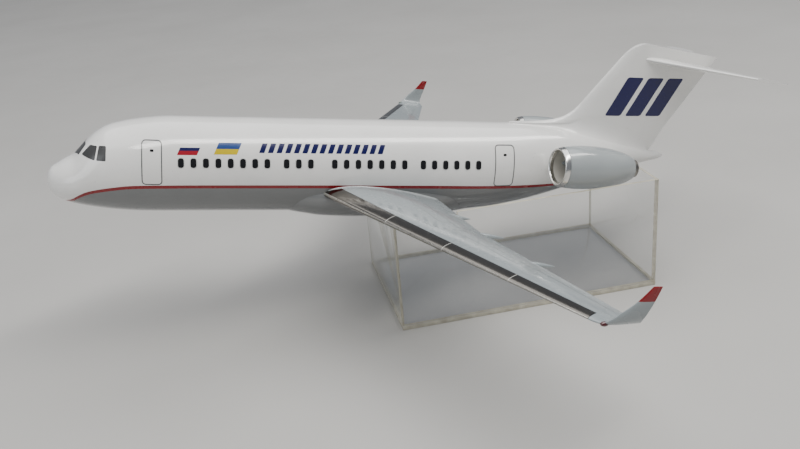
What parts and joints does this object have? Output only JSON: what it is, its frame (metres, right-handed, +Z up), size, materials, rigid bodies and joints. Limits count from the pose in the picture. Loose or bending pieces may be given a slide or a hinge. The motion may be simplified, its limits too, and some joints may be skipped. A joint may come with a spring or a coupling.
{
  "type": "scale display model of a rear-engined narrow body airliner on a clear cradle",
  "caption": "Display model of a narrow body airliner with a high tailplane, rear engines and winglets, held nose up in a clear acrylic cradle.",
  "frame": {"origin": "centre of the cradle's base plate, on its underside", "axes": "+Z up, +X towards the tail along the cradle, +Y to the aircraft's right"},
  "size_m": [0.6343, 0.5966, 0.2095],
  "materials": {
    "white_gloss": "white gloss lacquer over resin",
    "grey_gloss": "mid grey gloss lacquer",
    "wing_grey": "light blue-grey satin lacquer",
    "nacelle_grey": "light grey gloss lacquer",
    "slat_foil": "dark polished metal foil",
    "polished_lip": "bright polished metal",
    "dark_metal": "dark metallic paint",
    "lamp_red": "red translucent lens",
    "lamp_green": "green translucent lens",
    "clear_acrylic": "clear acrylic sheet with polished edges"
  },
  "bodies": {
    "root": {"fuselage": "white_gloss", "belly_fairing": "grey_gloss", "fin": "white_gloss", "wing_left": "wing_grey", "slat_left_1": "slat_foil", "slat_left_2": "slat_foil", "slat_left_3": "slat_foil", "slat_left_4": "slat_foil", "winglet_left": "wing_grey", "wingtip_lamp_left": "lamp_red", "flap_fairing_left_1": "wing_grey", "flap_fairing_left_2": "wing_grey", "flap_fairing_left_3": "wing_grey", "tailplane_left": "white_gloss", "nacelle_left": "nacelle_grey", "intake_ring_left": "polished_lip", "fan_left": "dark_metal", "nozzle_left": "dark_metal", "pylon_left": "nacelle_grey", "wing_right": "wing_grey", "slat_right_1": "slat_foil", "slat_right_2": "slat_foil", "slat_right_3": "slat_foil", "slat_right_4": "slat_foil", "winglet_right": "wing_grey", "wingtip_lamp_right": "lamp_green", "flap_fairing_right_1": "wing_grey", "flap_fairing_right_2": "wing_grey", "flap_fairing_right_3": "wing_grey", "tailplane_right": "white_gloss", "nacelle_right": "nacelle_grey", "intake_ring_right": "polished_lip", "fan_right": "dark_metal", "nozzle_right": "dark_metal", "pylon_right": "nacelle_grey", "stand_base": "clear_acrylic", "stand_wall_left": "clear_acrylic", "stand_wall_right": "clear_acrylic", "stand_wall_fore": "clear_acrylic", "stand_wall_aft": "clear_acrylic"}
  },
  "joints": []
}
